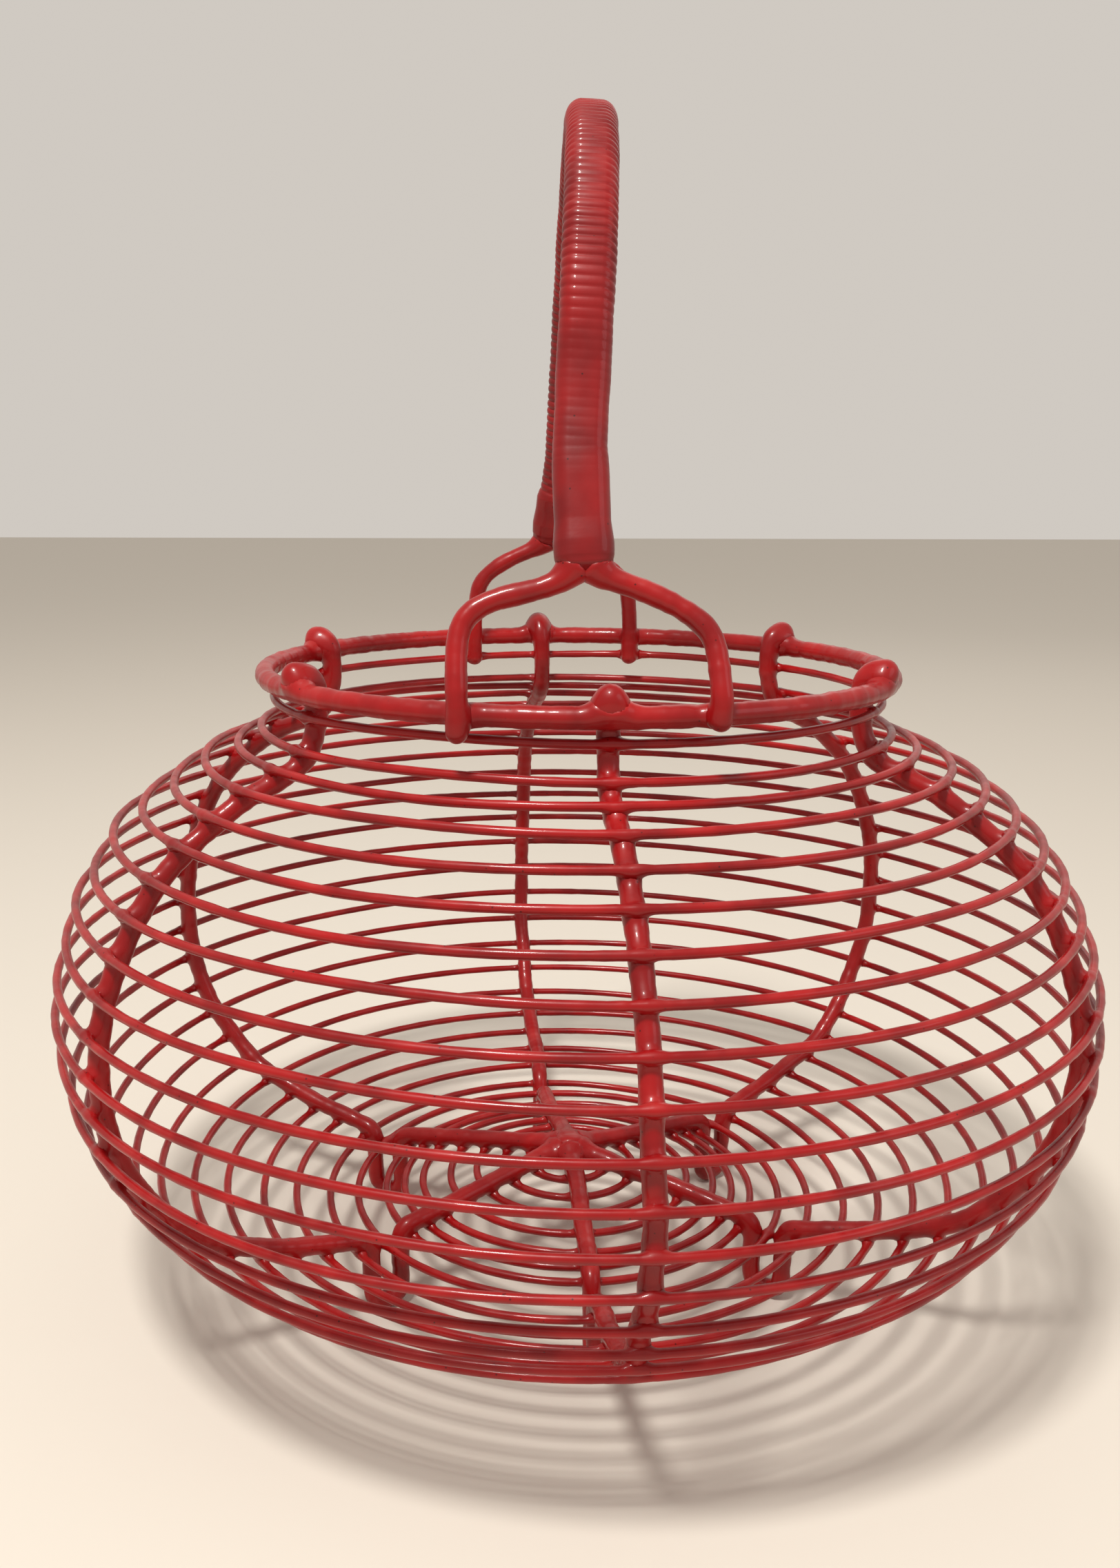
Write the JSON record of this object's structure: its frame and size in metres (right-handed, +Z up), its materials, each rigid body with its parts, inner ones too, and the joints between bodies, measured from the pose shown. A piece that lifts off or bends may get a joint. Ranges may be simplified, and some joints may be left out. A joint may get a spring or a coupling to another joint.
{
  "type": "egg collection basket",
  "caption": "Squat onion-shaped basket of ringed wire on upright ribs, dipped in red plastic, with hairpin feet and a fixed bail handle.",
  "frame": {"origin": "on the floor, under the middle of the basket", "axes": "+Z up; the handle stands in the YZ plane; -Y is the front of the basket"},
  "size_m": [0.3102, 0.3102, 0.3379],
  "materials": {
    "wire_coat": "glossy dipped plastic",
    "grip_coat": "glossy dipped plastic over a wire winding"
  },
  "bodies": {
    "root": {"rim": "wire_coat", "neck_ring": "wire_coat", "body_ring_01": "wire_coat", "body_ring_02": "wire_coat", "body_ring_03": "wire_coat", "body_ring_04": "wire_coat", "body_ring_05": "wire_coat", "body_ring_06": "wire_coat", "body_ring_07": "wire_coat", "body_ring_08": "wire_coat", "body_ring_09": "wire_coat", "body_ring_10": "wire_coat", "body_ring_11": "wire_coat", "body_ring_12": "wire_coat", "body_ring_13": "wire_coat", "body_ring_14": "wire_coat", "body_ring_15": "wire_coat", "body_ring_16": "wire_coat", "body_ring_17": "wire_coat", "body_ring_18": "wire_coat", "body_ring_19": "wire_coat", "body_ring_20": "wire_coat", "body_ring_21": "wire_coat", "body_ring_22": "wire_coat", "foot_ring": "wire_coat", "bottom_ring_1": "wire_coat", "bottom_ring_2": "wire_coat", "bottom_ring_3": "wire_coat", "bottom_ring_4": "wire_coat", "bottom_ring_5": "wire_coat", "bottom_ring_6": "wire_coat", "bottom_ring_7": "wire_coat", "rib_front": "wire_coat", "rib_right_front": "wire_coat", "rib_right_back": "wire_coat", "rib_back": "wire_coat", "rib_left_back": "wire_coat", "rib_left_front": "wire_coat", "bail_wire_left": "wire_coat", "bail_wire_right": "wire_coat", "grip_winding": "grip_coat"}
  },
  "joints": []
}
